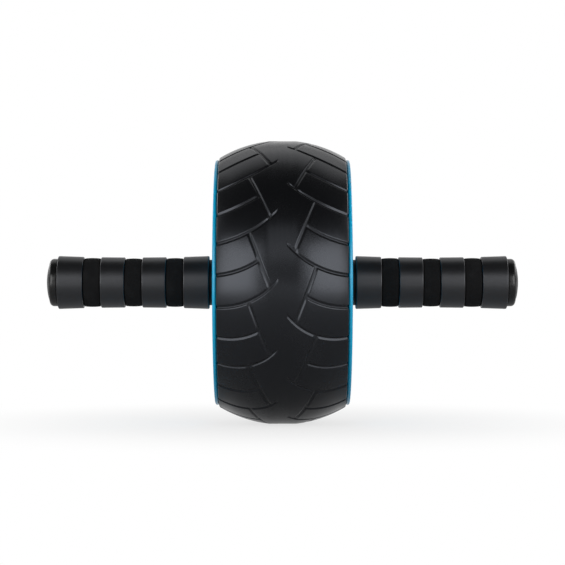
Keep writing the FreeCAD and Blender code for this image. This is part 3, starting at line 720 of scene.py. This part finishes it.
def makeBand(side, number):
    name = "grip_band_%d_%s" % (number, side)
    low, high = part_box(name)
    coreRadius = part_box("handle_core_" + side)[1].z + bandShape["coreGap"]
    start, end = low.y + bandShape["sideGap"], high.y - bandShape["sideGap"]
    middle, half = (start + end) / 2, (end - start) / 2
    crown, unevenness = bandShape["crown"], bandShape["unevenness"]
    outline = [(start, coreRadius)]
    outline += [(middle + half * t, high.z - crown * t * t) for t in bandShape["crownAt"]]
    outline += [(end, coreRadius)]
    mesh = bmesh.new()
    corners = drawLine(mesh, [(0, along, radius) for along, radius in outline], closed=True)[0]
    roundCorners(mesh, [corners[1], corners[-2]], bandShape["edge"], bandShape["edgeSteps"])
    spinRound(mesh, mesh.verts[:] + mesh.edges[:], bandShape["turns"])
    for vert in mesh.verts:
        radius = math.hypot(vert.co.x, vert.co.z)
        if radius > coreRadius + bandShape["stillDepth"]:
            swell = (noise.noise(vert.co * bandShape["lumpScale"]) - 0.5) * unevenness
            vert.co.x *= 1 + swell / radius
            vert.co.z *= 1 + swell / radius
    piece = addPiece("foamBand%d%s" % (number, side.capitalize()), mesh, "handlebar", "band_foam", name)
    soft = piece.modifiers.new("soft", "SUBSURF")
    soft.levels = soft.render_levels = 2
    return piece


for side in sides:
    for number in (1, 2, 3):
        makeBand(side, number)
print("foam bands: 6 made")


# end caps: a low dome set in a soft-edged flange, on a plug that fits the core
capShape = {
    "length": 7.2 * mm, "flat": 4.5 * mm, "dome": 10.6 * mm, "rise": 1.2 * mm, "domeSteps": 4,
    "groove": 0.5 * mm, "face": 1.8 * mm, "frontEdge": 2.6 * mm, "frontSteps": 7,
    "backEdge": 0.8 * mm, "backSteps": 3, "plugWall": 2 * mm, "plugLength": 6 * mm, "turns": 96,
}


def makeCap(side):
    low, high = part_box("end_cap_" + side)
    end = max(high.y, -low.y)
    seat, face = end - capShape["length"], end - capShape["face"]
    flat, dome, groove = capShape["flat"], capShape["dome"], capShape["groove"]
    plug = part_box("handle_washer_" + side)[1].z
    bore, back = plug - capShape["plugWall"], seat - capShape["plugLength"]
    outline = [(0, end)]
    for i in range(capShape["domeSteps"] + 1):
        radius = flat + (dome - flat) * i / capShape["domeSteps"]
        sag = capShape["rise"] * (radius ** 2 - flat ** 2) / (dome ** 2 - flat ** 2)
        outline.append((radius, end - sag))
    outline += [(dome, face - groove), (dome + groove, face - groove), (dome + groove * 2, face),
                (high.z, face), (high.z, seat), (plug, seat), (plug, back), (bore, back),
                (bore, seat), (0, seat)]
    mesh = bmesh.new()
    corners = drawLine(mesh, [(0, along, radius) for radius, along in outline])[0]
    front = corners[outline.index((high.z, face))]
    behind = corners[outline.index((high.z, seat))]
    roundCorners(mesh, [front], capShape["frontEdge"], capShape["frontSteps"])
    roundCorners(mesh, [behind], capShape["backEdge"], capShape["backSteps"])
    spinRound(mesh, mesh.verts[:] + mesh.edges[:], capShape["turns"])
    bmesh.ops.scale(mesh, verts=mesh.verts, vec=(1, sides[side], 1))
    cap = addPiece("domedCap" + side.capitalize(), mesh, "handlebar", "cap_plastic", "end_cap_" + side)
    evenShade(cap)
    return cap


for side in sides:
    capPiece = makeCap(side)
print("end caps: 2 of %d faces" % len(capPiece.data.polygons))


# floor: pale paper that fades to white away from the wheel and keeps its shadow near it; to reflections
# only, a strip the tyre's width from under the wheel backwards glows white, a painted reflection in
# place of that shadow
floorShape = {"size": 8.0, "squares": 8}
floorLook = {
    "dim": grey(0.54), "pale": grey(0.58), "paper": grey(0.92), "cloudScale": 3.0,
    "roughness": 0.9, "shine": 0.1, "nearWhite": 0.70, "seenFade": (0.06, 0.28),
    "glossFade": (0.35, 1.0), "backFade": (-0.04, 0.05), "sideFade": (0.0014, 0.0028), "sideLoss": 0.86,
}


def makeFloorPaper():
    look = floorLook
    material, surface, place = newFinish("paleFloor")
    tree = material.node_tree
    seen = place.ray("Is Camera Ray")
    mirrored = (place.ray("Is Glossy Ray") + place.ray("Is Transmission Ray")).clipped()
    tint = place.blend(place.cloud(look["cloudScale"]), look["dim"], look["pale"])
    place.fill(surface, {
        "Base Color": place.blend(seen, tint, look["paper"]),
        "Roughness": look["roughness"],
        "Specular IOR Level": look["shine"],
    })
    reach = place.add("ShaderNodeVectorMath", {"operation": "LENGTH"}, {0: place}, "Value")
    seenWhite = reach.between(*look["seenFade"]) * (1 - look["nearWhite"]) + look["nearWhite"]
    # painted reflection: to glossy rays a strip about the tyre's width, from under the wheel backwards,
    # glows white where the wheel's shadow lies
    back = place.axis("X").between(*look["backFade"])
    aside = place.axis("Y")
    aside = (aside * aside).between(*look["sideFade"])  # squared, so that it takes both sides
    near = (1 - back) * (1 - aside * look["sideLoss"])
    backdropAndPaintedGlow = (reach.between(*look["glossFade"]) + near).clipped()
    white = seen * seenWhite + mirrored * backdropAndPaintedGlow
    glow = place.add("ShaderNodeEmission", {}, {"Color": grey(1), "Strength": 1.0})
    shaded = Shade(tree, surface.outputs[0])
    mixed = place.add("ShaderNodeMixShader", {}, {0: white, 1: shaded, 2: glow})
    place.fill(tree.nodes["Material Output"], {"Surface": mixed})
    return material


def makeFloor():
    mesh = bmesh.new()
    squares = floorShape["squares"]
    bmesh.ops.create_grid(mesh, x_segments=squares, y_segments=squares, size=floorShape["size"] / 2)
    bmesh.ops.translate(mesh, verts=mesh.verts, vec=(0, 0, cadLow.z))
    data = bpy.data.meshes.new("studioFloor")
    mesh.to_mesh(data)
    mesh.free()
    data.materials.append(makeFloorPaper())
    floor = bpy.data.objects.new("studioFloor", data)
    scene.collection.objects.link(floor)


# room: white to the camera; what the part mirrors is a bright back wall and dim walls low down
roomLook = {
    "backWall": [(0.0, grey(1)), (0.03, grey(1)), (0.08, grey(0.5)), (0.22, grey(0.14)), (0.5, grey(0))],
    "lowWalls": [(0.0, grey(0.5)), (0.66, grey(0.55)), (0.72, grey(0.4)), (0.79, grey(0.05)),
                 (1.0, grey(0.04))],
    "frontFade": (0.88, 0.99), "frontLoss": 0.4,
}


def makeRoom():
    world = bpy.data.worlds.new("studioRoom")
    scene.world = world
    world.use_nodes = True
    tree = world.node_tree
    place = Shade(tree).add("ShaderNodeTexCoord", {}, {}, "Generated")
    towards, height = place.axis("X"), place.axis("Z")
    behind = place.add("ShaderNodeValToRGB", {"stops": roomLook["backWall"]}, {0: towards * 0.5 + 0.5})
    around = place.add("ShaderNodeValToRGB", {"stops": roomLook["lowWalls"]}, {0: height * 0.5 + 0.5})
    front = towards.between(*roomLook["frontFade"]) * roomLook["frontLoss"]
    tone = place.blend(1.0, behind, place.blend(front, around, grey(0)), "LIGHTEN")
    tone = place.blend(place.ray("Is Camera Ray"), tone, grey(1))
    place.fill(tree.nodes["Background"], {"Color": tone, "Strength": 1.0})


# soft lamps in front, over, above, beside and behind; one off the middle has a twin across it
lamps = {
    "box": {"at": (0.50, 0.41, 0.125), "to": (0.09, 0.02, 0.01), "size": (0.42, 0.41), "power": 1.6},
    "over": {"at": (0.80, 0.0, 0.47), "to": (0, 0, 0), "size": (0.26, 0.42), "power": 0.27},
    "above": {"at": (-0.75, 0.0, 1.15), "to": (0, 0, 0), "size": (1.6, 0.7), "power": 1.67},
    "side": {"at": (-0.15, 1.15, 0.6), "to": (0, 0.04, 0), "size": (0.8, 0.6), "power": 1.6},
    "behind": {"at": (-1.1, 1.2, 0.6), "to": (0, 0, 0), "size": (0.7, 0.7), "power": 3.0},
}


def makeLamp(name, look, sign):
    light = bpy.data.lights.new(name, "AREA")
    light.shape = "RECTANGLE"
    light.size, light.size_y = look["size"]
    light.energy = look["power"]
    lamp = bpy.data.objects.new(name, light)
    scene.collection.objects.link(lamp)
    across = Vector((1, sign, 1))
    lamp.location = Vector(look["at"]) * across
    aim = Vector(look["to"]) * across - lamp.location
    lamp.rotation_euler = aim.to_track_quat("-Z", "Y").to_euler()
    return lamp


def makeLamps():
    made = []
    for name, look in lamps.items():
        if look["at"][1] == 0:
            made.append(makeLamp(name, look, 1))
        else:
            made += [makeLamp(name + side.capitalize(), look, sign) for side, sign in sides.items()]
    return made


view = {"distance": 1.35, "lens": 134.7, "sensor": 36.0, "farthest": 30}


def makeCamera():
    camera = bpy.data.cameras.new("photoView")
    camera.lens = view["lens"]
    camera.sensor_width = view["sensor"]
    camera.clip_end = view["farthest"]
    eye = bpy.data.objects.new("photoView", camera)
    scene.collection.objects.link(eye)
    eye.location = (view["distance"], 0, 0)
    eye.rotation_euler = (math.radians(90), 0, math.radians(90))
    scene.camera = eye


makeFloor()
makeRoom()
madeLamps = makeLamps()
makeCamera()
scene.view_settings.view_transform = "Standard"
print("studio: floor, room, %d lamps and camera" % len(madeLamps))
